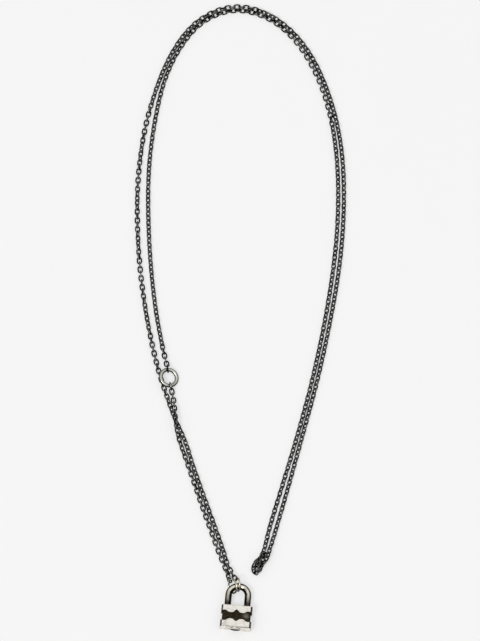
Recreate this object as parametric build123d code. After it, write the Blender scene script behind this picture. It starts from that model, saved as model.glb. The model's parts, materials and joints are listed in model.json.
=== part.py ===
"""Padlock pendant on a long doubled chain with an adjuster ring, lying flat.

Millimetres, +Z up, the surface that it lies on at Z = 0. The origin is the middle of
the laid-out necklace. The padlock lies on its back at the low end, shackle towards +Y.
"""

from build123d import *
import math
import os

# Padlock: sizes across, along its shackle, and through
body_width = 14.8
body_height = 11.0
body_thickness = 6.2
body_bevel = 0.85
body_edge_radius = 0.22

# Silver covers over the blackened core
cover_wall = 0.55
cover_plate = 0.85
cover_gap = 0.04

# Shackle and the bores that it runs in
shackle_wire = 3.2
shackle_spacing = 9.3
shackle_rise = 11.8
# how far the body draws off, what of the long leg it then keeps, and how far it then
# stands clear of the short leg
shackle_travel = 4.0
leg_kept = 3.6
leg_freed = 1.0
bore_clearance = 0.06
bore_relief = 0.5
leg_end_chamfer = 0.35

# Key plug in the bottom
plug_diameter = 5.2
plug_length = 3.6
plug_proud = 0.35
plug_clearance = 0.05
keyway_length = 4.3
keyway_width = 1.15
keyway_depth = 2.8

# Where the padlock lies, and how far it is turned in plan
lock_x = -2.3
lock_y = -151.0
lock_turn = -5.2

# Jump rings round the shackle's bow
jump_inner = 5.8
jump_wire = 0.8
jump_slack = 0.15
# name: place round the bow, heading of its pull and lean, in degrees
JUMP_RINGS = {"jump_ring_left": (38.0, 26.0, 30.0), "jump_ring_right": (9.0, 14.0, 16.0)}
# how far below its pull a ring's chain hangs, in degrees
jump_dip = 18.0

# Adjuster ring that slides on the chain
adjuster_outer = 9.85
adjuster_wire = 1.85
adjuster_x = -34.6
adjuster_y = -30.85

# Small rings that tie the chain's ends to the adjuster ring
tie_inner = 3.1
tie_wire = 0.65
tie_slack = 0.1
tie_dip = 14.0
# name: compass place round the adjuster ring in degrees, 90 at its top
TIE_RINGS = {"tie_ring_top": 98.0, "tie_ring_bottom": -77.0}

# Chain
link_wire = 0.75
link_width = 2.75
link_pitch = 2.25
link_clearance = 0.13
link_corners = 12
wire_sides = 6
chain_lay_height = 1.11
tube_diameter = 2.1
crossing_gap = 0.5
floor_gap = 0.02
lying_roll = 45.0
easing_links = 3
# how far from its ring a hanging chain has come down to lie on the surface
hang_reach = 4.2
hang_height = 1.3

link_length = link_pitch + 2 * link_wire + link_clearance

# Leading measures that several pieces share
top_face = body_height / 2
long_leg_depth = shackle_travel + leg_kept
short_leg_depth = shackle_travel - leg_freed
leg_radius = shackle_wire / 2
bore_radius = leg_radius + bore_clearance
bow_radius = shackle_spacing / 2
bow_centre = top_face + shackle_rise - leg_radius - bow_radius
wire_height = body_thickness / 2
jump_radius = (jump_inner + jump_wire) / 2
adjuster_radius = (adjuster_outer - adjuster_wire) / 2
tie_radius = (tie_inner + tie_wire) / 2
tube_radius = tube_diameter / 2

# Outline of the covers' scalloped edges, from the middle outwards. Columns: share of
# half the body's width, share of the body's height. Every second row is an arc's middle.
UPPER_EDGE = [
    (0.00, 0.312),
    (0.08, 0.272),
    (0.21, 0.180),
    (0.37, 0.164),
    (0.54, 0.182),
    (0.76, 0.252),
    (1.00, 0.172),
]
LOWER_EDGE = [
    (0.00, -0.246),
    (0.09, -0.204),
    (0.20, -0.140),
    (0.37, -0.122),
    (0.56, -0.160),
    (0.77, -0.226),
    (1.00, -0.172),
]

# Route of the long strand, X and Y: out of the adjuster ring's top, up the inner left,
# over the top, down the right to the fold, and back outside itself to the padlock
LONG_ROUTE = [
    (-37.25, -17.52),
    (-38.8, -9.0),
    (-41.0, 3.0),
    (-43.4, 25.0),
    (-44.7, 49.0),
    (-44.6, 75.0),
    (-41.6, 99.0),
    (-37.2, 119.2),
    (-30.0, 135.3),
    (-19.5, 148.0),
    (-4.4, 154.8),
    (10.6, 152.1),
    (23.0, 143.6),
    (32.4, 130.8),
    (40.4, 113.0),
    (45.2, 91.0),
    (47.0, 67.0),
    (46.3, 42.0),
    (43.8, 19.0),
    (39.3, -8.0),
    (33.3, -36.0),
    (26.1, -63.0),
    (18.9, -87.5),
    (13.3, -106.5),
    (11.9, -113.0),
    (10.7, -117.7),
    (8.7, -121.2),
    (6.0, -124.2),
    (5.4, -128.2),
    (9.4, -129.1),
    (10.6, -125.2),
    (12.4, -121.7),
    (13.9, -118.1),
    (15.3, -113.8),
    (17.6, -104.0),
    (22.8, -85.0),
    (29.4, -60.0),
    (36.6, -32.5),
    (43.2, -1.0),
    (48.0, 29.0),
    (49.9, 58.0),
    (48.9, 84.0),
    (44.4, 106.5),
    (36.4, 129.0),
    (25.2, 145.0),
    (11.2, 154.6),
    (-5.3, 157.4),
    (-21.3, 150.3),
    (-32.1, 136.9),
    (-39.8, 119.5),
    (-46.6, 95.0),
    (-50.15, 68.5),
    (-50.15, 44.0),
    (-48.3, 20.0),
    (-44.4, -6.0),
    (-40.0, -26.0),
    (-36.6, -37.5),
    (-33.7, -46.0),
    (-31.0, -52.8),
    (-28.2, -58.6),
    (-25.6, -65.5),
    (-23.0, -74.4),
    (-19.45, -84.6),
    (-15.3, -96.8),
    (-11.1, -108.9),
    (-8.0, -118.2),
    (-6.35, -122.9),
]

# Route of the short strand, X, Y and Z, between the rings that it hangs from: over the
# long strand where they cross, and down beside it to the padlock
SHORT_ROUTE = [
    (-32.8, -38.2, 1.35),
    (-32.3, -41.9, 1.40),
    (-31.9, -45.3, 2.85),
    (-31.7, -48.3, 3.45),
    (-31.4, -51.6, 3.50),
    (-31.1, -54.8, 3.50),
    (-30.6, -57.9, 3.05),
    (-29.8, -61.2, 1.50),
    (-28.4, -65.3, 1.11),
    (-25.4, -74.2, 1.11),
    (-22.0, -84.4, 1.11),
    (-17.9, -96.9, 1.11),
    (-13.65, -109.0, 1.11),
    (-10.5, -118.6, 1.11),
    (-8.1, -125.5, 1.15),
    (-6.7, -129.6, 1.25),
]


def lock_place():
    """The padlock's own frame: X across it, Y along its shackle, Z through it."""
    return Location((lock_x, lock_y, 0), (0, 0, lock_turn))


def bevelled_bar(inset, low, high):
    """The body's bevelled section, drawn in by inset, from low to high along the shackle."""
    half_width = body_width / 2 - inset
    half_depth = body_thickness / 2 - inset
    # The bevel's own width shrinks with the inset so that the wall stays even
    bevel = body_bevel - inset * (2 - math.sqrt(2))
    corners = [
        (half_width - bevel, half_depth),
        (half_width, half_depth - bevel),
        (half_width, bevel - half_depth),
        (half_width - bevel, -half_depth),
        (bevel - half_width, -half_depth),
        (-half_width, bevel - half_depth),
        (-half_width, half_depth - bevel),
        (bevel - half_width, half_depth),
    ]
    base = Plane(origin=(0, low, body_thickness / 2), x_dir=(1, 0, 0), z_dir=(0, 1, 0))
    section = base * Polygon(*corners, align=None)
    return extrude(section, high - low, dir=(0, 1, 0))


def along_shackle(radius, low, high, x=0.0):
    """A round bar beside the padlock's middle line, from low to high."""
    base = Plane(origin=(x, low, wire_height), x_dir=(1, 0, 0), z_dir=(0, 1, 0))
    return extrude(base * Circle(radius), high - low, dir=(0, 1, 0))


def scalloped_side(table, far):
    """A tall slab bounded by a scalloped edge and reaching to far."""
    half = body_width / 2
    right = [(share * half, rise * body_height) for share, rise in table]
    arcs = []
    for first in range(0, len(right) - 2, 2):
        arcs.append(ThreePointArc(*right[first:first + 3]))
        mirrored = [(-x, y) for x, y in right[first:first + 3]]
        arcs.append(ThreePointArc(*mirrored))
    end_x, end_y = right[-1]
    out = half + cover_wall
    rim = Polyline((end_x, end_y), (out, end_y), (out, far), (-out, far), (-out, end_y), (-end_x, end_y))
    return extrude(make_face(Curve() + arcs + rim), body_thickness * 1.5, both=True)


def make_cover(table, outward):
    """One silver cover: a cap over the core whose open edge is scalloped."""
    end = outward * top_face
    low, high = sorted((0.0, end))
    outside = bevelled_bar(0, low, high)
    rim = outside.edges().filter_by_position(Axis.Y, end - 0.01, end + 0.01)
    outside = fillet(rim, body_edge_radius)
    inside_end = end - outward * cover_plate
    low, high = sorted((-outward * body_height, inside_end))
    shell = outside - bevelled_bar(cover_wall, low, high)
    return shell & scalloped_side(table, outward * body_height)


def make_upper_cover():
    cover = make_cover(UPPER_EDGE, 1)
    for side in (-1, 1):
        cover -= along_shackle(bore_radius, 0, body_height, side * bow_radius)
    return cover


def make_lower_cover():
    hole = along_shackle(plug_diameter / 2 + plug_clearance, -body_height, 0)
    return make_cover(LOWER_EDGE, -1) - hole


def make_core():
    """The blackened body that shows as a band between the covers."""
    end = top_face - cover_plate - cover_gap
    core = bevelled_bar(cover_wall + cover_gap, -end, end)
    for side, depth in ((-1, long_leg_depth), (1, short_leg_depth)):
        floor = top_face - depth - bore_relief
        core -= along_shackle(bore_radius, floor, body_height, side * bow_radius)
    plug_top = plug_length - plug_proud - top_face
    plug_bore = plug_diameter / 2 + plug_clearance
    return core - along_shackle(plug_bore, -body_height, plug_top + cover_gap)


def make_plug():
    """The round key plug, standing a little proud, with its keyway."""
    low = -top_face - plug_proud
    plug = along_shackle(plug_diameter / 2, low, low + plug_length)
    rim = plug.edges().filter_by_position(Axis.Y, low - 0.01, low + 0.01)
    plug = fillet(rim, plug_proud * 0.7)
    slot = Box(keyway_length, keyway_depth * 2, keyway_width)
    return plug - Pos(0, low, wire_height) * slot


def make_shackle():
    """A round wire bent to a U, with a long captive leg and a short free one."""
    long_end = (-bow_radius, top_face - long_leg_depth, wire_height)
    short_end = (bow_radius, top_face - short_leg_depth, wire_height)
    left = (-bow_radius, bow_centre, wire_height)
    right = (bow_radius, bow_centre, wire_height)
    crown = (0, bow_centre + bow_radius, wire_height)
    path = Line(long_end, left) + ThreePointArc(left, crown, right) + Line(right, short_end)
    section = Plane(origin=long_end, x_dir=(1, 0, 0), z_dir=(0, 1, 0)) * Circle(leg_radius)
    wire = sweep(section, path=path)
    ends = wire.edges().filter_by(GeomType.CIRCLE).filter_by(lambda e: abs(e.radius - leg_radius) < 0.01)
    lowest = ends.filter_by_position(Axis.Y, long_end[1] - 0.01, long_end[1] + 0.01)
    shortest = ends.filter_by_position(Axis.Y, short_end[1] - 0.01, short_end[1] + 0.01)
    return chamfer(lowest + shortest, leg_end_chamfer)


def ring_anchor(centre, pull, rise, inner, dip):
    """Where the wire of a link that hangs in a ring runs: inside its far edge."""
    reach = inner / 2 - link_wire / 2 - link_clearance
    turn = math.radians(dip)
    return centre + (pull * math.cos(turn) - rise * math.sin(turn)) * reach


def jump_ring_place(place, heading, lean):
    """Centre, pull and facing of a ring that its chain draws off the bow, and where
    the chain's last link runs through it."""
    round_bow = math.radians(90 + place)
    wire_point = Vector(bow_radius * math.cos(round_bow), bow_centre + bow_radius * math.sin(round_bow), wire_height)
    turn = math.radians(90 + heading)
    pull = Vector(math.cos(turn), math.sin(turn), 0)
    along = Vector(-pull.Y, pull.X, 0)
    tip = math.radians(lean)
    facing = along * math.cos(tip) + Vector(0, 0, 1) * math.sin(tip)
    rise = Vector(0, 0, 1) * math.cos(tip) - along * math.sin(tip)
    half_height = jump_radius * math.cos(tip) + jump_wire / 2
    lift = max(0.0, half_height + floor_gap - wire_height) / math.cos(tip)
    slant = math.cos(tip) * math.cos(math.radians(heading - place))
    play = jump_radius - (leg_radius + jump_wire / 2 + jump_slack) / slant
    outward = math.sqrt(max(0.0, play * play - lift * lift))
    centre = wire_point + pull * outward + rise * lift
    return centre, pull, facing, ring_anchor(centre, pull, rise, jump_inner, jump_dip)


def make_jump_ring(place, heading, lean):
    centre, pull, facing, _ = jump_ring_place(place, heading, lean)
    return Plane(origin=centre, x_dir=pull, z_dir=facing) * Torus(jump_radius, jump_wire / 2)


def jump_anchor(name):
    """The anchor of one of the bow's rings, in the necklace's frame."""
    anchor = jump_ring_place(*JUMP_RINGS[name])[3]
    return (lock_place() * Pos(*anchor)).position


def adjuster_tilt():
    """The ring leans on the outer strand at its left and on the surface at its right."""
    lift = tube_diameter + crossing_gap
    return math.asin(lift / (2 * adjuster_radius))


def adjuster_point(compass):
    """A point of the adjuster ring's centre line."""
    turn = math.radians(compass)
    tilt = adjuster_tilt()
    middle = adjuster_wire / 2 + floor_gap + adjuster_radius * math.sin(tilt)
    across = adjuster_radius * math.cos(turn)
    return Vector(
        adjuster_x + across * math.cos(tilt),
        adjuster_y + adjuster_radius * math.sin(turn),
        middle - across * math.sin(tilt),
    )


def make_adjuster():
    tilt = adjuster_tilt()
    middle = adjuster_point(90)
    facing = (math.sin(tilt), 0, math.cos(tilt))
    base = Plane(origin=(adjuster_x, adjuster_y, middle.Z), x_dir=(0, 1, 0), z_dir=facing)
    return base * Torus(adjuster_radius, adjuster_wire / 2)


def tie_ring_place(compass):
    """Centre, pull and facing of a small upright ring round the adjuster's wire, and
    where the chain's first link runs through it."""
    wire_point = adjuster_point(compass)
    turn = math.radians(compass)
    pull = Vector(math.cos(turn), math.sin(turn), 0)
    play = tie_inner / 2 - adjuster_wire / 2 - tie_slack
    lift = min(play, max(0.0, tie_radius + tie_wire / 2 + floor_gap - wire_point.Z))
    outward = math.sqrt(play * play - lift * lift)
    rise = Vector(0, 0, 1)
    centre = wire_point + pull * outward + rise * lift
    facing = Vector(-pull.Y, pull.X, 0)
    return centre, pull, facing, ring_anchor(centre, pull, rise, tie_inner, tie_dip)


def make_tie_ring(compass):
    centre, pull, facing, _ = tie_ring_place(compass)
    return Plane(origin=centre, x_dir=pull, z_dir=facing) * Torus(tie_radius, tie_wire / 2)


def make_link():
    """One oval link of faceted wire, lying in XY with its length along X."""
    per_end = link_corners // 2
    step = math.pi / per_end
    # The corners stand out so that the end's flat reaches the link's full length
    end_radius = (link_width - link_wire) / 2 / math.cos(step / 2)
    straight = (link_length - link_width) / 2
    corners = []
    for end, start in ((1, -math.pi / 2), (-1, math.pi / 2)):
        for index in range(per_end):
            angle = start + (index + 0.5) * step
            corners.append((end * straight + end_radius * math.cos(angle), end_radius * math.sin(angle)))
    rings = []
    for index, (x, y) in enumerate(corners):
        before = Vector(*corners[index - 1], 0)
        after = Vector(*corners[(index + 1) % len(corners)], 0)
        here = Vector(x, y, 0)
        inbound = (here - before).normalized()
        outbound = (after - here).normalized()
        mitre = (Vector(inbound.Y, -inbound.X, 0) + Vector(outbound.Y, -outbound.X, 0)).normalized()
        stretch = 1 / mitre.dot(Vector(inbound.Y, -inbound.X, 0))
        ring = []
        for side in range(wire_sides):
            turn = 2 * math.pi * side / wire_sides
            ring.append(
                here
                + mitre * (stretch * link_wire / 2 * math.cos(turn))
                + Vector(0, 0, link_wire / 2 * math.sin(turn))
            )
        rings.append(ring)
    faces = []
    for index, ring in enumerate(rings):
        following = rings[(index + 1) % len(rings)]
        for side in range(wire_sides):
            nearby = (side + 1) % wire_sides
            quad = [ring[side], ring[nearby], following[nearby], following[side]]
            faces.append(Face(Wire.make_polygon(quad)))
    return Solid(Shell(faces))


def smooth_route(points):
    """A soft curve that touches the middle of every run between the points."""
    points = [Vector(*point) for point in points]
    middles = [(a + b) / 2 for a, b in zip(points, points[1:])]
    stops = [points[0], *middles[1:-1], points[-1]]
    pieces = []
    for index, stop in enumerate(stops[:-1]):
        pieces.append(Bezier(stop, points[index + 1], stops[index + 1]))
    return Wire(pieces)


def link_rolls(count, first, last):
    """The turn of each link about the chain's line: a quarter more than the one before,
    easing from the first link's to the lying chain's and, if last is given, to that."""
    rolls = []
    closing = lying_roll
    if last is not None:
        closing += (last - 90 * (count - 1) - lying_roll + 90) % 180 - 90
    for index in range(count):
        opened = min(1, index / easing_links)
        closed = max(0, 1 - (count - 1 - index) / easing_links)
        extra = first + (lying_roll - first) * opened + (closing - lying_roll) * closed
        rolls.append(90 * index + extra)
    return rolls


def lay_links(route, first, last=None, tail=0.0):
    """Links along a route from wire to wire. first and last are the turns of the end
    links, and tail is what the last link leaves free at the route's end."""
    link = make_link()
    reach = (link_length - link_wire) / 2
    room = route.length - 2 * reach - tail
    steps = round(room / link_pitch)
    pitch = room / steps
    laid = []
    for index, roll in enumerate(link_rolls(steps + 1, first, last)):
        middle = reach + index * pitch
        behind = route.position_at(middle - reach, position_mode=PositionMode.LENGTH)
        ahead = route.position_at(middle + reach, position_mode=PositionMode.LENGTH)
        direction = (ahead - behind).normalized()
        level = Vector(-direction.Y, direction.X, 0).normalized()
        upright = direction.cross(level)
        turn = math.radians(roll)
        facing = upright * math.cos(turn) + level * math.sin(turn)
        place = Plane(origin=(ahead + behind) / 2, x_dir=direction, z_dir=facing)
        laid.append(place.location * link)
    print("links", len(laid), "pitch", round(pitch, 3))
    return laid


def lead_in(anchor, first, tube_end):
    """The few real links between a ring and the end of the long strand's tube."""
    end = Vector(*tube_end, chain_lay_height)
    level = Vector(end.X - anchor.X, end.Y - anchor.Y, 0)
    knee = Vector(anchor.X, anchor.Y, hang_height) + level.normalized() * hang_reach
    route = smooth_route([anchor, knee, end])
    return lay_links(route, first, tail=link_wire / 2 + link_clearance)


def corner_radii(points):
    """The largest even radius that each corner's two runs leave room for."""
    radii = []
    for a, b, c in zip(points, points[1:], points[2:]):
        into = Vector(b[0] - a[0], b[1] - a[1])
        out = Vector(c[0] - b[0], c[1] - b[1])
        turn = into.get_angle(out)
        radii.append(0.45 * min(into.length, out.length) / math.tan(math.radians(turn / 2)))
    return radii


def make_tube(points):
    """The long strand's round outer form, laid on the surface."""
    radii = corner_radii(points)
    print("tube radii", [round(radius, 1) for radius in radii])
    flat = [(x, y, tube_radius) for x, y in points]
    path = FilletPolyline(*flat, radius=radii)
    start = path @ 0
    section = Plane(origin=start, z_dir=path % 0) * Circle(tube_radius)
    tube = sweep(section, path=path)
    expected = math.pi * tube_radius ** 2 * path.length
    print("tube length", round(path.length, 1), "volume", round(tube.volume, 1), "section x length", round(expected, 1))
    return tube


def export(name, shape):
    shape.label = name
    export_step(shape, "parts/" + name + ".step")


def main():
    os.makedirs("parts", exist_ok=True)
    place = lock_place()
    export("lock_core", place * make_core())
    export("upper_cover", place * make_upper_cover())
    export("lower_cover", place * make_lower_cover())
    export("key_plug", place * make_plug())
    export("shackle", place * make_shackle())
    for name, pose in JUMP_RINGS.items():
        export(name, place * make_jump_ring(*pose))
    export("adjuster_ring", make_adjuster())
    for name, compass in TIE_RINGS.items():
        export(name, make_tie_ring(compass))
    tie_anchors = {name: tie_ring_place(compass)[3] for name, compass in TIE_RINGS.items()}
    left_lean = JUMP_RINGS["jump_ring_left"][2]
    right_lean = JUMP_RINGS["jump_ring_right"][2]
    short_points = [tie_anchors["tie_ring_bottom"], *SHORT_ROUTE, jump_anchor("jump_ring_left")]
    export("chain_short", Compound(lay_links(smooth_route(short_points), 0, left_lean)))
    export("chain_long", make_tube(LONG_ROUTE))
    upper_links = lead_in(tie_anchors["tie_ring_top"], 0, LONG_ROUTE[0])
    lower_links = lead_in(jump_anchor("jump_ring_right"), -right_lean, LONG_ROUTE[-1])
    export("chain_long_ends", Compound(upper_links + lower_links))


main()
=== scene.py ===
"""Dresses the padlock necklace: interlocking chain links, silver finishes, a pale floor and
soft light. Metres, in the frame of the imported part: +Z up, the surface at Z = 0, the
padlock at the low end of Y."""

import math
import random

import bmesh
import bpy
from mathutils import Matrix, Vector
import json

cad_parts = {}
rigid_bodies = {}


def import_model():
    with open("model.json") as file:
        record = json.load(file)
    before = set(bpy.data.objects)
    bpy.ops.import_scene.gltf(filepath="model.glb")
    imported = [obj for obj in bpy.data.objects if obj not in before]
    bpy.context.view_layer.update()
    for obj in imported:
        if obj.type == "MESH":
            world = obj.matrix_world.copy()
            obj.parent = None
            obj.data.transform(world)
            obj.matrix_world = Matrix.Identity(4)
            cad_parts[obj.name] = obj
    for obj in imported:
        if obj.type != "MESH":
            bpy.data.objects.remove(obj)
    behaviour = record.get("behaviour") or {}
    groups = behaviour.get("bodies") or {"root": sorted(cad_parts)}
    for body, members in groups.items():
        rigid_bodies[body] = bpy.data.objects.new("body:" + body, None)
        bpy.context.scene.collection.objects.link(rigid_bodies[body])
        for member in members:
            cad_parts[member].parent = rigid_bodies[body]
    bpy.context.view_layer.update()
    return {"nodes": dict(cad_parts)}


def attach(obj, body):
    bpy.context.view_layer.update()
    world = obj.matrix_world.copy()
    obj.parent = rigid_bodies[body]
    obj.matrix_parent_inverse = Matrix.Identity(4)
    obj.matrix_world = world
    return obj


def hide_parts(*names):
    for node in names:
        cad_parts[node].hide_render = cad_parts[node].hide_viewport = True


for leftover in list(bpy.data.objects):
    bpy.data.objects.remove(leftover)

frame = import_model()

MM = 0.001

# How far the padlock lies turned in plan, and its own directions: along its shackle,
# across it, and up
LOCK_TURN = math.radians(5.2)
LOCK_AXIS = (math.sin(LOCK_TURN), math.cos(LOCK_TURN), 0.0)
LOCK_SIDE = (math.cos(LOCK_TURN), -math.sin(LOCK_TURN), 0.0)
UP = (0.0, 0.0, 1.0)

# Places along its shackle: where its body begins and ends
BODY_TOP = -145.1 * MM
BODY_END = -156.1 * MM

# Places across it: its middle, half the body's width, and how far from the middle the
# painted highlight on the shackle's legs lies outwards in full
BODY_MIDDLE = 11.4 * MM
BODY_HALF = 7.4 * MM
LEG_REACH = 3.0 * MM

# Where the dark band is rubbed to metal
RUBBED_PLACE = (2.5 * MM, -150.9 * MM, 6.0 * MM)

# Camera

VIEW_ELEVATION = 73.0
FRAME_HEIGHT_PX = 641
MM_PER_PIXEL = 0.48
CAMERA_DISTANCE = 10.0
# The place on the surface at the middle of the photograph
AIM = Vector((-0.00048, -0.0015, 0.0))


def add_camera():
    """A long lens from far off, at the photograph's height above the surface."""
    data = bpy.data.cameras.new("camera")
    data.sensor_width = 36.0
    tall = FRAME_HEIGHT_PX * MM_PER_PIXEL * MM
    data.lens = data.sensor_width * CAMERA_DISTANCE / tall
    data.clip_start = 0.1
    data.clip_end = 40.0
    camera = bpy.data.objects.new("camera", data)
    rise = math.radians(VIEW_ELEVATION)
    back = Vector((0.0, -math.cos(rise), math.sin(rise)))
    camera.location = AIM + back * CAMERA_DISTANCE
    camera.rotation_euler = (-back).to_track_quat("-Z", "Y").to_euler()
    bpy.context.collection.objects.link(camera)
    bpy.context.scene.camera = camera


# Materials

def linear(hex_colour):
    """An sRGB hex colour as linear red, green, blue and alpha."""
    out = []
    for start in (1, 3, 5):
        value = int(hex_colour[start:start + 2], 16) / 255
        out.append(value / 12.92 if value <= 0.04045 else ((value + 0.055) / 1.055) ** 2.4)
    return (*out, 1.0)


def node(tree, kind, settings=(), **links):
    """Adds a node with its settings. links maps an input to a value or to another node's
    output: by its name, with underscores for spaces, or as i0, i1 and so on by number."""
    made = tree.nodes.new(kind)
    for name, value in dict(settings).items():
        setattr(made, name, value)
    for name, value in links.items():
        key = int(name[1:]) if name[0] == "i" and name[1:].isdigit() else name.replace("_", " ")
        if isinstance(value, bpy.types.NodeSocket):
            tree.links.new(value, made.inputs[key])
        else:
            made.inputs[key].default_value = value
    return made


def new_material(name):
    """A node material with a Principled shader alone, and its Object coordinates."""
    material = bpy.data.materials.new(name)
    material.use_nodes = True
    tree = material.node_tree
    tree.nodes.clear()
    output = tree.nodes.new("ShaderNodeOutputMaterial")
    shader = tree.nodes.new("ShaderNodeBsdfPrincipled")
    tree.links.new(shader.outputs["BSDF"], output.inputs["Surface"])
    place = tree.nodes.new("ShaderNodeTexCoord").outputs["Object"]
    return material, tree, shader, place


def oxidised_silver():
    """Oxidised sterling silver, drawn wire dipped in liver of sulphur and tumbled: a
    charcoal skin that stays in the crotches and is rubbed to grey metal on the outsides."""
    material, tree, shader, place = new_material("oxidised_sterling_silver")
    rub = node(tree, "ShaderNodeAttribute", {"attribute_name": "rub"}).outputs["Fac"]
    tone = node(tree, "ShaderNodeAttribute", {"attribute_name": "tone"}).outputs["Fac"]
    # Patches of thinner skin 1.25 mm across, 0.8 of them to a millimetre
    patches = node(
        tree, "ShaderNodeTexNoise", Vector=place, Scale=0.8 / MM, Detail=3.0, Roughness=0.6,
    )
    wear_and_edge_shade = node(tree, "ShaderNodeMath", {"operation": "MULTIPLY"}, i0=rub, i1=patches.outputs["Fac"])
    share = node(
        tree, "ShaderNodeMath", {"operation": "MULTIPLY_ADD"}, i0=wear_and_edge_shade.outputs[0], i1=1.5, i2=tone,
    )
    ramp = node(tree, "ShaderNodeValToRGB", i0=share.outputs[0])
    ramp.color_ramp.elements[0].position = 0.4
    ramp.color_ramp.elements[0].color = linear("#0c0c0b")
    ramp.color_ramp.elements[1].position = 0.975
    ramp.color_ramp.elements[1].color = linear("#90928e")
    tree.links.new(ramp.outputs["Color"], shader.inputs["Base Color"])
    shader.inputs["Metallic"].default_value = 1.0
    rough = node(tree, "ShaderNodeMapRange", Value=wear_and_edge_shade.outputs[0], To_Min=0.34, To_Max=0.2)
    tree.links.new(rough.outputs[0], shader.inputs["Roughness"])
    return material


def facing_share(tree, place, direction, low, high, outward=0.0):
    """How far a face looks along a direction: 0 below low, 1 above high, ragged between; the
    silver's painted highlight and shade follow it. outward adds a share of how far it looks
    away from the padlock's middle."""
    facing = node(tree, "ShaderNodeTexCoord").outputs["Normal"]
    along = node(tree, "ShaderNodeVectorMath", {"operation": "DOT_PRODUCT"}, i0=facing, i1=direction)
    turned = node(tree, "ShaderNodeMath", {"operation": "ABSOLUTE"}, i0=along.outputs["Value"])
    # The mask's edge is ragged in tongues 1.1 mm long, 0.9 of them to a millimetre
    ragged = node(tree, "ShaderNodeTexNoise", Vector=place, Scale=0.9 / MM, Detail=3.0)
    centred = node(
        tree, "ShaderNodeMath", {"operation": "MULTIPLY_ADD"},
        i0=ragged.outputs["Fac"], i1=0.24, i2=-0.12,
    )
    across = node(tree, "ShaderNodeVectorMath", {"operation": "DOT_PRODUCT"}, i0=place, i1=LOCK_SIDE)
    away = node(
        tree, "ShaderNodeMapRange", Value=across.outputs["Value"],
        From_Min=BODY_MIDDLE - LEG_REACH, From_Max=BODY_MIDDLE + LEG_REACH,
        To_Min=-outward, To_Max=outward,
    )
    sideways = node(tree, "ShaderNodeVectorMath", {"operation": "DOT_PRODUCT"}, i0=facing, i1=LOCK_SIDE)
    leaned = node(
        tree, "ShaderNodeMath", {"operation": "MULTIPLY_ADD"},
        i0=sideways.outputs["Value"], i1=away.outputs[0], i2=turned.outputs[0],
    )
    shown = node(
        tree, "ShaderNodeMath", {"operation": "ADD"}, i0=leaned.outputs[0], i1=centred.outputs[0],
    )
    return node(
        tree, "ShaderNodeMapRange", Value=shown.outputs[0], From_Min=low, From_Max=high,
    ).outputs[0]


def wire_with_painted_highlight(name, dull, bright, dark, low, high, outward=0.0):
    """Polished silver wire under a haze of wear, with a painted highlight along its crest, where
    it faces up, and painted shade along its sides; it is also darker close to the padlock's
    body. outward moves the painted highlight to the padlock's outer sides and the painted
    shade onto the inner ones, which face each other."""
    material, tree, shader, place = new_material(name)
    # The haze of wear lies in clouds nearly 4 mm across, 0.26 of them to a millimetre
    haze = node(
        tree, "ShaderNodeTexNoise", Vector=place, Scale=0.26 / MM, Detail=4.0, Roughness=0.6,
    )
    ramp = node(tree, "ShaderNodeValToRGB", i0=haze.outputs["Fac"])
    ramp.color_ramp.elements[0].position = 0.35
    ramp.color_ramp.elements[0].color = linear(dull)
    ramp.color_ramp.elements[1].position = 0.7
    ramp.color_ramp.elements[1].color = linear(bright)
    # Painted highlight along the crest, where the wire faces up, and painted shade along its sides and,
    # with outward, on the inner sides of the shackle's legs
    crest = facing_share(tree, place, UP, low, high, outward)
    # Darker close to the padlock's body: fully within 1.5 mm of it, fading out by 7.5 mm
    up_lock = node(tree, "ShaderNodeVectorMath", {"operation": "DOT_PRODUCT"}, i0=place, i1=LOCK_AXIS)
    clear = node(
        tree, "ShaderNodeMapRange", Value=up_lock.outputs["Value"],
        From_Min=BODY_TOP + 1.5 * MM, From_Max=BODY_TOP + 7.5 * MM, To_Min=0.06,
    )
    painted_highlight_share = node(tree, "ShaderNodeMath", {"operation": "MULTIPLY"}, i0=crest, i1=clear.outputs[0])
    mixed = node(
        tree, "ShaderNodeMix", {"data_type": "RGBA"},
        i0=painted_highlight_share.outputs[0], i6=linear(dark), i7=ramp.outputs["Color"],
    )
    tree.links.new(mixed.outputs[2], shader.inputs["Base Color"])
    shader.inputs["Metallic"].default_value = 1.0
    rough = node(tree, "ShaderNodeMapRange", Value=haze.outputs["Fac"], To_Min=0.2, To_Max=0.34)
    tree.links.new(rough.outputs[0], shader.inputs["Roughness"])
    return material


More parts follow.
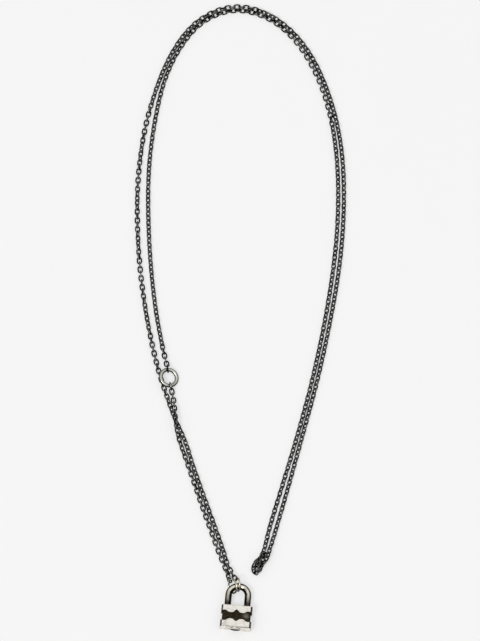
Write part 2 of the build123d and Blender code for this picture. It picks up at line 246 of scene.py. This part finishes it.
def satin_silver():
    """Satin sterling silver, brushed by hand: pale and warm with short marks across it, a
    line of painted shade along the bevels at its sides and a greyer one along its key end."""
    material, tree, shader, place = new_material("satin_sterling_silver")
    # Brush marks 2 mm long and 0.11 mm apart: 0.5 of them to a millimetre in X, 9 in Y
    # and 0.9 in Z. The turn follows the scale, so it moves the marks but doesn't slant them.
    stretched = node(
        tree, "ShaderNodeMapping", Vector=place,
        Rotation=(0.0, 0.0, math.radians(20)), Scale=(0.5 / MM, 9.0 / MM, 0.9 / MM),
    )
    marks = node(tree, "ShaderNodeTexNoise", Vector=stretched.outputs[0], Scale=1.0, Detail=3.0)
    # Handling leaves clouds 3 mm across, 0.33 of them to a millimetre
    cloud = node(tree, "ShaderNodeTexNoise", Vector=place, Scale=0.33 / MM, Detail=3.0)
    worked = node(
        tree, "ShaderNodeMath", {"operation": "ADD"}, i0=marks.outputs["Fac"], i1=cloud.outputs["Fac"],
    )
    ramp = node(tree, "ShaderNodeValToRGB", i0=worked.outputs[0])
    ramp.color_ramp.elements[0].position = 0.78
    ramp.color_ramp.elements[0].color = linear("#c4beb3")
    ramp.color_ramp.elements[1].position = 1.0
    ramp.color_ramp.elements[1].color = linear("#f2eee6")
    # Painted shade on the bevels and faces that look sideways
    side = facing_share(tree, place, LOCK_SIDE, low=0.42, high=0.72)
    with_side_shade = node(
        tree, "ShaderNodeMix", {"data_type": "RGBA"},
        i0=side, i6=ramp.outputs["Color"], i7=linear("#55524a"),
    )
    # A grey line of painted shade 0.6 mm wide along the face's edge at the key end, stronger
    # to the right
    up_lock = node(tree, "ShaderNodeVectorMath", {"operation": "DOT_PRODUCT"}, i0=place, i1=LOCK_AXIS)
    edge = node(
        tree, "ShaderNodeMapRange", Value=up_lock.outputs["Value"],
        From_Min=BODY_END + 0.15 * MM, From_Max=BODY_END + 0.75 * MM, To_Min=1.0, To_Max=0.0,
    )
    across = node(tree, "ShaderNodeVectorMath", {"operation": "DOT_PRODUCT"}, i0=place, i1=LOCK_SIDE)
    rightward = node(
        tree, "ShaderNodeMapRange", Value=across.outputs["Value"],
        From_Min=BODY_MIDDLE - BODY_HALF, From_Max=BODY_MIDDLE + BODY_HALF,
        To_Min=0.25, To_Max=1.0,
    )
    upward = facing_share(tree, place, UP, low=0.5, high=0.9)
    graded = node(
        tree, "ShaderNodeMath", {"operation": "MULTIPLY"}, i0=edge.outputs[0], i1=rightward.outputs[0],
    )
    wear_and_edge_shade = node(tree, "ShaderNodeMath", {"operation": "MULTIPLY"}, i0=graded.outputs[0], i1=upward)
    toned = node(
        tree, "ShaderNodeMix", {"data_type": "RGBA"},
        i0=wear_and_edge_shade.outputs[0], i6=with_side_shade.outputs[2], i7=linear("#4f4b40"),
    )
    tree.links.new(toned.outputs[2], shader.inputs["Base Color"])
    shader.inputs["Metallic"].default_value = 1.0
    rough = node(tree, "ShaderNodeMapRange", Value=marks.outputs["Fac"], To_Min=0.25, To_Max=0.42)
    tree.links.new(rough.outputs[0], shader.inputs["Roughness"])
    bump = node(tree, "ShaderNodeBump", Strength=0.15, Distance=0.02 * MM, Height=marks.outputs["Fac"])
    tree.links.new(bump.outputs[0], shader.inputs["Normal"])
    return material


def plug_silver():
    """Turned silver of the key plug: bright above, with black painted shade along its lower
    rim, near the board."""
    material, tree, shader, place = new_material("turned_sterling_silver")
    height = node(tree, "ShaderNodeSeparateXYZ", Vector=place).outputs["Z"]
    # The painted shade's edge wanders in steps 1.4 mm long, 0.7 of them to a millimetre
    skin = node(tree, "ShaderNodeTexNoise", Vector=place, Scale=0.7 / MM, Detail=3.0)
    ragged = node(
        tree, "ShaderNodeMath", {"operation": "MULTIPLY_ADD"},
        i0=skin.outputs["Fac"], i1=0.8 * MM, i2=height,
    )
    unshaded_share = node(
        tree, "ShaderNodeMapRange", Value=ragged.outputs[0], From_Min=2.6 * MM, From_Max=4.4 * MM,
    )
    mixed = node(
        tree, "ShaderNodeMix", {"data_type": "RGBA"},
        i0=unshaded_share.outputs[0], i6=linear("#2f2c26"), i7=linear("#d8d4ca"),
    )
    tree.links.new(mixed.outputs[2], shader.inputs["Base Color"])
    shader.inputs["Metallic"].default_value = 1.0
    shader.inputs["Roughness"].default_value = 0.38
    return material


def blackened_silver():
    """Silver blackened in the recess: brown black and soft, with one brushed grey place."""
    material, tree, shader, place = new_material("blackened_silver")
    # The skin is thinner in patches 1.4 mm across, 0.7 of them to a millimetre
    skin = node(
        tree, "ShaderNodeTexNoise", Vector=place, Scale=0.7 / MM, Detail=4.0, Roughness=0.65,
    )
    ramp = node(tree, "ShaderNodeValToRGB", i0=skin.outputs["Fac"])
    ramp.color_ramp.elements[0].position = 0.3
    ramp.color_ramp.elements[0].color = linear("#1b1712")
    ramp.color_ramp.elements[1].position = 0.75
    ramp.color_ramp.elements[1].color = linear("#403729")
    # Rubbed to grey metal over about 2 mm near the right end of the band
    away = node(tree, "ShaderNodeVectorMath", {"operation": "DISTANCE"}, i0=place, i1=RUBBED_PLACE)
    ragged = node(
        tree, "ShaderNodeMath", {"operation": "MULTIPLY_ADD"},
        i0=skin.outputs["Fac"], i1=4.0 * MM, i2=-2.0 * MM,
    )
    reach = node(
        tree, "ShaderNodeMath", {"operation": "ADD"}, i0=away.outputs["Value"], i1=ragged.outputs[0],
    )
    rubbed = node(
        tree, "ShaderNodeMapRange", Value=reach.outputs[0],
        From_Min=0.2 * MM, From_Max=1.9 * MM, To_Min=0.75, To_Max=0.0,
    )
    mixed = node(
        tree, "ShaderNodeMix", {"data_type": "RGBA"},
        i0=rubbed.outputs[0], i6=ramp.outputs["Color"], i7=linear("#87837a"),
    )
    tree.links.new(mixed.outputs[2], shader.inputs["Base Color"])
    shader.inputs["Metallic"].default_value = 1.0
    shader.inputs["Roughness"].default_value = 0.45
    return material


def pale_floor():
    """A white diffusing board with much of its light from within, so shadows are faint."""
    material, tree, shader, place = new_material("matt_white_board")
    # Its cloudiness is 33 mm across, 0.03 of a cloud to a millimetre, and hardly shows
    grain = node(tree, "ShaderNodeTexNoise", Vector=place, Scale=0.03 / MM, Detail=2.0)
    ramp = node(tree, "ShaderNodeValToRGB", i0=grain.outputs["Fac"])
    ramp.color_ramp.elements[0].color = linear("#a6a6a6")
    ramp.color_ramp.elements[1].color = linear("#a8a8a8")
    tree.links.new(ramp.outputs["Color"], shader.inputs["Base Color"])
    shader.inputs["Roughness"].default_value = 0.9
    shader.inputs["Specular IOR Level"].default_value = 0.1
    shader.inputs["Emission Color"].default_value = (1.0, 1.0, 1.0, 1.0)
    shader.inputs["Emission Strength"].default_value = 0.563
    return material


# Chain

LINK_WIRE = 0.75 * MM
LINK_WIDTH = 2.75 * MM
LINK_LENGTH = 3.88 * MM
LINK_PITCH = 2.25 * MM
WIRE_SIDES = 6
BEND_STEPS = 6
FLOOR_GAP = 0.02 * MM

# Height of a strand's middle where it lies on the surface
LYING_HEIGHT = 1.11 * MM
# A link's rise across its next one, as a share of its own
CROSS_RISE = 0.97
# How far a link may turn by chance, in degrees, with fewer at a strand's ends
LOOSE_TURN = 5
FIRM_LINKS = 3
# How much darker or brighter than the others a link may be
TONE_RANGE = (-0.08, 0.12)
# The wear at the middle of the wire, and how much it grows to the link's outside
RUB_MIDDLE = 0.45
RUB_GROWTH = 0.55


def make_link_form():
    """One oval link, lying in XY with its length along X. The vertices carry how far the
    tumbling has rubbed them: the outsides most, the insides not at all."""
    form = bmesh.new()
    radius = LINK_WIRE / 2
    bend = (LINK_WIDTH - LINK_WIRE) / 2
    half = (LINK_LENGTH - LINK_WIDTH) / 2
    ring = bmesh.ops.create_circle(
        form, cap_ends=False, segments=WIRE_SIDES, radius=radius,
    )["verts"]
    upright = Matrix.Rotation(math.radians(90), 3, "Y")
    bmesh.ops.rotate(form, verts=ring, cent=(0, 0, 0), matrix=upright)
    bmesh.ops.translate(form, verts=ring, vec=(half, -bend, 0))
    edges = list(form.edges)
    for side in (1, -1):
        swept = bmesh.ops.spin(
            form, geom=edges, cent=(side * half, 0, 0), axis=(0, 0, 1), angle=math.pi,
            steps=BEND_STEPS, use_merge=False, use_duplicate=False,
        )["geom_last"]
        edges = [item for item in swept if isinstance(item, bmesh.types.BMEdge)]
        drawn = bmesh.ops.extrude_edge_only(form, edges=edges)["geom"]
        verts = [item for item in drawn if isinstance(item, bmesh.types.BMVert)]
        bmesh.ops.translate(form, verts=verts, vec=(-side * 2 * half, 0, 0))
        edges = [item for item in drawn if isinstance(item, bmesh.types.BMEdge)]
        edges = [edge for edge in edges if all(vert in verts for vert in edge.verts)]
    bmesh.ops.remove_doubles(form, verts=form.verts, dist=radius * 0.05)
    bmesh.ops.recalc_face_normals(form, faces=form.faces)
    rub = form.verts.layers.float.new("rub")
    form.verts.layers.float.new("tone")
    for vert in form.verts:
        middle = Vector((max(-half, min(half, vert.co.x)), 0, 0))
        out = (Vector((vert.co.x, vert.co.y, 0)) - middle).length - bend
        vert[rub] = max(0.0, min(1.0, RUB_MIDDLE + out / radius * RUB_GROWTH))
    for face in form.faces:
        face.smooth = True
    return form


def line_through(route):
    """Closely spaced points along the smooth line that a route controls."""
    curve = bpy.data.curves.new("route", "CURVE")
    curve.dimensions = "3D"
    curve.resolution_u = 16
    spline = curve.splines.new("NURBS")
    spline.points.add(len(route) - 1)
    for point, place in zip(spline.points, route):
        point.co = (*place, 1.0)
    spline.order_u = 3
    spline.use_endpoint_u = True
    holder = bpy.data.objects.new("route", curve)
    mesh = bpy.data.meshes.new_from_object(holder)
    points = [vert.co.copy() for vert in mesh.vertices]
    bpy.data.objects.remove(holder)
    bpy.data.curves.remove(curve)
    bpy.data.meshes.remove(mesh)
    return points


class Line:
    """A line that is read by the distance along it."""

    def __init__(self, points):
        self.points = points
        self.marks = [0.0]
        for a, b in zip(points, points[1:]):
            self.marks.append(self.marks[-1] + (b - a).length)
        self.length = self.marks[-1]
        self.at_run = 0

    def at(self, distance):
        distance = max(0.0, min(self.length, distance))
        run = self.at_run
        while run > 0 and self.marks[run] > distance:
            run -= 1
        while run < len(self.points) - 2 and self.marks[run + 1] < distance:
            run += 1
        self.at_run = run
        share = (distance - self.marks[run]) / max(1e-12, self.marks[run + 1] - self.marks[run])
        return self.points[run].lerp(self.points[run + 1], share)


def lay_chain(name, line, leans, ring_lean, seed):
    """Links all along a line, each through the last, as one joined mesh. leans and
    ring_lean say how they are turned about the line."""
    chance = random.Random(seed)
    form = make_link_form()
    chain = bmesh.new()
    carried = bpy.data.meshes.new("link")
    reach = (LINK_LENGTH - LINK_WIRE) / 2
    steps = round((line.length - 2 * reach) / LINK_PITCH)
    pitch = (line.length - 2 * reach) / steps
    rise = (LINK_WIDTH - LINK_WIRE) / 2
    for index in range(steps + 1):
        middle = reach + index * pitch
        behind = line.at(middle - reach)
        ahead = line.at(middle + reach)
        along = (ahead - behind).normalized()
        level = Vector((-along.y, along.x, 0)).normalized()
        upright = along.cross(level)
        loose = LOOSE_TURN * min(1, index / FIRM_LINKS, (steps - index) / FIRM_LINKS)
        lean = turn_of(leans, ring_lean, index, steps)
        roll = math.radians(lean + chance.uniform(-loose, loose))
        facing = upright * math.cos(roll) + level * math.sin(roll)
        side = facing.cross(along)
        centre = (ahead + behind) / 2
        tall = LINK_WIRE / 2 + rise * max(abs(math.sin(roll)), abs(math.cos(roll)) * CROSS_RISE)
        centre.z = max(centre.z, tall + FLOOR_GAP)
        turned = Matrix((along, side, facing)).transposed().to_4x4()
        link = form.copy()
        tone = link.verts.layers.float["tone"]
        shade = chance.uniform(*TONE_RANGE)
        for vert in link.verts:
            vert[tone] = shade
        bmesh.ops.transform(link, matrix=Matrix.Translation(centre) @ turned, verts=link.verts)
        link.to_mesh(carried)
        link.free()
        chain.from_mesh(carried)
    mesh = bpy.data.meshes.new(name)
    chain.to_mesh(mesh)
    chain.free()
    form.free()
    bpy.data.meshes.remove(carried)
    piece = bpy.data.objects.new(name, mesh)
    bpy.context.collection.objects.link(piece)
    sizes = [round(pitch / MM, 3), round(line.length / MM, 1)]
    print(name, "links", steps + 1, "pitch and length in mm", *sizes)
    return piece


# The long strand in metres, X and Y: out of the adjuster ring's top, up the inner left,
# over the top and down the right to the fold
LONG_ROUTE = [
    (-0.03725, -0.01752),
    (-0.0388, -0.009),
    (-0.041, 0.003),
    (-0.0434, 0.025),
    (-0.0447, 0.049),
    (-0.0446, 0.075),
    (-0.0416, 0.099),
    (-0.0372, 0.1192),
    (-0.03, 0.1353),
    (-0.0196, 0.1488),
    (-0.0044, 0.1555),
    (0.0107, 0.1524),
    (0.023, 0.1436),
    (0.0324, 0.1308),
    (0.0404, 0.113),
    (0.0452, 0.091),
    (0.047, 0.067),
    (0.0463, 0.042),
    (0.0438, 0.019),
    (0.0393, -0.008),
    (0.0333, -0.036),
    (0.0261, -0.063),
    (0.0189, -0.0875),
    (0.0133, -0.1065),
    (0.0119, -0.1135),
]

# The fold, X, Y and Z: a little slack is bunched over its tip, and the side that comes
# back lies half over the other one
FOLD = [
    (0.0105, -0.1186, 0.00111),
    (0.0091, -0.1211, 0.00111),
    (0.0066, -0.1228, 0.00111),
    (0.0055, -0.1256, 0.00111),
    (0.006, -0.1285, 0.0012),
    (0.0083, -0.1288, 0.0014),
    (0.0093, -0.1258, 0.0018),
    (0.0102, -0.1222, 0.0025),
    (0.0126, -0.1176, 0.003),
    (0.0104, -0.1198, 0.0034),
    (0.0084, -0.1226, 0.0036),
    (0.0064, -0.1256, 0.0037),
    (0.0078, -0.1279, 0.0038),
    (0.0093, -0.1258, 0.0037),
    (0.0108, -0.1234, 0.0034),
    (0.0127, -0.1216, 0.0032),
    (0.0132, -0.1184, 0.003),
    (0.0148, -0.1132, 0.0021),
    (0.0174, -0.104, 0.00111),
]

# From the fold back up outside the first side, over the top and down the outer left
LONG_RETURN = [
    (0.0227, -0.085),
    (0.0293, -0.06),
    (0.0366, -0.0325),
    (0.0432, -0.001),
    (0.048, 0.029),
    (0.0498, 0.058),
    (0.0488, 0.084),
    (0.0444, 0.1065),
    (0.0361, 0.1287),
    (0.0249, 0.1446),
    (0.0111, 0.1544),
    (-0.0053, 0.1572),
    (-0.0211, 0.1501),
    (-0.0318, 0.1366),
    (-0.0396, 0.1194),
    (-0.0466, 0.095),
    (-0.0499, 0.0685),
    (-0.0499, 0.044),
    (-0.0483, 0.02),
    (-0.0444, -0.006),
    (-0.04, -0.026),
    (-0.0364, -0.0375),
    (-0.0335, -0.046),
    (-0.031, -0.0528),
    (-0.0282, -0.0586),
    (-0.0256, -0.0655),
]

# Where the long strand comes down from the ring that it is tied to, and its last stretch,
# half on the short strand's edge and then up to the ring on the padlock, X, Y and Z
LONG_START = [
    (-0.035341, -0.025365, 0.002173),
    (-0.03625, -0.02125, 0.0013),
]
LONG_END = [
    (-0.0231, -0.0744, 0.0012),
    (-0.0196, -0.0846, 0.00135),
    (-0.0154, -0.0968, 0.0014),
    (-0.0112, -0.1089, 0.0014),
    (-0.008, -0.1182, 0.0014),
    (-0.007, -0.1228, 0.0018),
    (-0.0048, -0.1283, 0.002),
    (-0.002158, -0.132203, 0.002881),
]

# The short strand: from the ring below the adjuster, over the long strand where they
# cross, and down beside it to the padlock
SHORT_ROUTE = [
    (-0.033419, -0.036176, 0.001967),
    (-0.0330, -0.0384, 0.00135),
    (-0.0323, -0.0419, 0.0014),
    (-0.0319, -0.0453, 0.00285),
    (-0.0317, -0.0483, 0.00345),
    (-0.0314, -0.0516, 0.0035),
    (-0.0311, -0.0548, 0.0035),
    (-0.0306, -0.0579, 0.00305),
    (-0.0298, -0.0612, 0.0015),
    (-0.0284, -0.0653, 0.00111),
    (-0.0254, -0.0742, 0.00111),
    (-0.022, -0.0844, 0.00111),
    (-0.0179, -0.0969, 0.00111),
    (-0.01365, -0.109, 0.00111),
    (-0.0104, -0.1186, 0.00111),
    (-0.0075, -0.1255, 0.00113),
    (-0.0061, -0.1296, 0.00125),
    (-0.005137, -0.133367, 0.002637),
]

# How each strand lies: share of its length, and the lean of its links in degrees. At 0,
# 90 and so on every second link lies flat, and halfway between they all lean.
LONG_LEANS = [
    (0.000, 0.0),
    (0.003, 8.0),
    (0.010, 45.0),
    (0.190, 48.0),
    (0.200, 78.0),
    (0.230, 84.0),
    (0.242, 130.0),
    (0.560, 135.0),
    (0.705, 138.0),
    (0.716, 150.0),
    (0.724, 182.0),
    (0.734, 215.0),
    (0.752, 225.0),
    (0.785, 235.0),
    (0.7965, 270.0),
    (0.8075, 315.0),
    (0.820, 360.0),
    (0.8305, 405.0),
    (0.8395, 450.0),
    (0.849, 495.0),
    (0.858, 532.0),
    (0.868, 548.0),
    (0.879, 585.0),
    (0.886, 589.0),
    (0.892, 620.0),
    (0.902, 638.0),
    (0.912, 645.0),
    (0.930, 675.0),
    (0.992, 680.0),
]
SHORT_LEANS = [
    (0.00, 0.0),
    (0.10, 8.0),
    (0.18, 45.0),
    (0.32, 50.0),
    (0.42, 70.0),
    (0.94, 74.0),
]
# Lean of the ring on the padlock that each strand's last link hangs in, in degrees
LONG_RING_LEAN = 16.0
SHORT_RING_LEAN = 30.0


def turn_of(leans, ring_lean, index, steps):
    """A link's turn about its chain's line: a quarter more than the one before, plus the
    lean, which closes on the ring that the last link hangs in."""
    last_lean = leans[-1][1]
    closing = last_lean + (ring_lean - 90 * steps - last_lean + 90) % 180 - 90
    share = index / steps
    for (start, low), (end, high) in zip(leans, leans[1:] + [(1.0, closing)]):
        if share <= end:
            return 90 * index + low + (high - low) * (share - start) / (end - start)
    return 90 * index + closing


def make_chains():
    finish = oxidised_silver()
    there = [(x, y, LYING_HEIGHT) for x, y in LONG_ROUTE]
    back = [(x, y, LYING_HEIGHT) for x, y in LONG_RETURN]
    long_line = Line(line_through(LONG_START + there + FOLD + back + LONG_END))
    long_piece = lay_chain("long_strand_links", long_line, LONG_LEANS, LONG_RING_LEAN, seed=3)
    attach(long_piece, "necklace")
    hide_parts("chain_long", "chain_long_ends")
    short_line = Line(line_through(SHORT_ROUTE))
    short_piece = lay_chain("short_strand_links", short_line, SHORT_LEANS, SHORT_RING_LEAN, seed=5)
    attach(short_piece, "necklace")
    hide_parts("chain_short")
    for piece in (long_piece, short_piece):
        piece.data.materials.append(finish)
    return finish


# Padlock and rings

def dress_cad_nodes(dark_finish):
    finishes = {
        "oxidised_silver": dark_finish,
        # In these wires dark is the painted shade's colour, and dull and bright colour the painted
        # highlight under the haze of wear
        "polished_silver": wire_with_painted_highlight(
            "polished_sterling_silver", dull="#cfc7b2", bright="#fffbee", dark="#1c1811",
            low=0.86, high=0.99, outward=0.22,
        ),
        "tumbled_silver": wire_with_painted_highlight(
            "tumbled_sterling_silver", dull="#adada3", bright="#dcdcd3", dark="#2b2b26",
            low=0.6, high=0.86,
        ),
        "rubbed_silver": wire_with_painted_highlight(
            "rubbed_sterling_silver", dull="#b5ad93", bright="#ece5cd", dark="#3a3427",
            low=0.3, high=0.75,
        ),
        "satin_silver": satin_silver(),
        "turned_silver": plug_silver(),
        "blackened_silver": blackened_silver(),
    }
    wears = {
        "lock_core": "blackened_silver",
        "upper_cover": "satin_silver",
        "lower_cover": "satin_silver",
        "key_plug": "turned_silver",
        "shackle": "polished_silver",
        "jump_ring_left": "rubbed_silver",
        "jump_ring_right": "rubbed_silver",
        "adjuster_ring": "tumbled_silver",
        "tie_ring_bottom": "polished_silver",
        "tie_ring_top": "oxidised_silver",
    }
    for name, finish in wears.items():
        for slot in frame["nodes"][name].material_slots:
            slot.material = finishes[finish]


# Floor and light, in metres and watts

FLOOR_HALF = 6.0
WINDOW_PLACE = (-1.7, -2.2, 4.0)
WINDOW_SIZE = 1.3
WINDOW_POWER = 70.0


def add_stage():
    form = bmesh.new()
    bmesh.ops.create_grid(form, x_segments=1, y_segments=1, size=FLOOR_HALF)
    mesh = bpy.data.meshes.new("floor")
    form.to_mesh(mesh)
    form.free()
    floor = bpy.data.objects.new("floor", mesh)
    bpy.context.collection.objects.link(floor)
    floor.data.materials.append(pale_floor())


def add_window():
    """A soft disk of light, high in front on the left, that looks at the middle."""
    data = bpy.data.lights.new("window", "AREA")
    data.shape = "DISK"
    data.size = WINDOW_SIZE
    data.energy = WINDOW_POWER
    light = bpy.data.objects.new("window", data)
    light.location = WINDOW_PLACE
    light.rotation_euler = (-Vector(WINDOW_PLACE)).to_track_quat("-Z", "Y").to_euler()
    light.visible_camera = False
    bpy.context.collection.objects.link(light)


def add_room():
    """A room that is bright overhead and dim around: silver is bright where it faces up and
    dark along its sides, and the board stays near white."""
    world = bpy.data.worlds.new("studio")
    world.use_nodes = True
    tree = world.node_tree
    background = tree.nodes["Background"]
    place = node(tree, "ShaderNodeTexCoord").outputs["Generated"]
    height = node(tree, "ShaderNodeSeparateXYZ", Vector=place).outputs["Z"]
    room = node(tree, "ShaderNodeValToRGB", i0=height)
    room.color_ramp.elements[0].position = 0.12
    room.color_ramp.elements[0].color = (0.04, 0.04, 0.04, 1.0)
    room.color_ramp.elements[1].position = 0.85
    room.color_ramp.elements[1].color = (0.92, 0.92, 0.92, 1.0)
    tree.links.new(room.outputs["Color"], background.inputs["Color"])
    background.inputs["Strength"].default_value = 1.0
    bpy.context.scene.world = world
    bpy.context.scene.view_settings.view_transform = "Standard"


add_camera()
dark_silver = make_chains()
dress_cad_nodes(dark_silver)
add_stage()
add_room()
add_window()
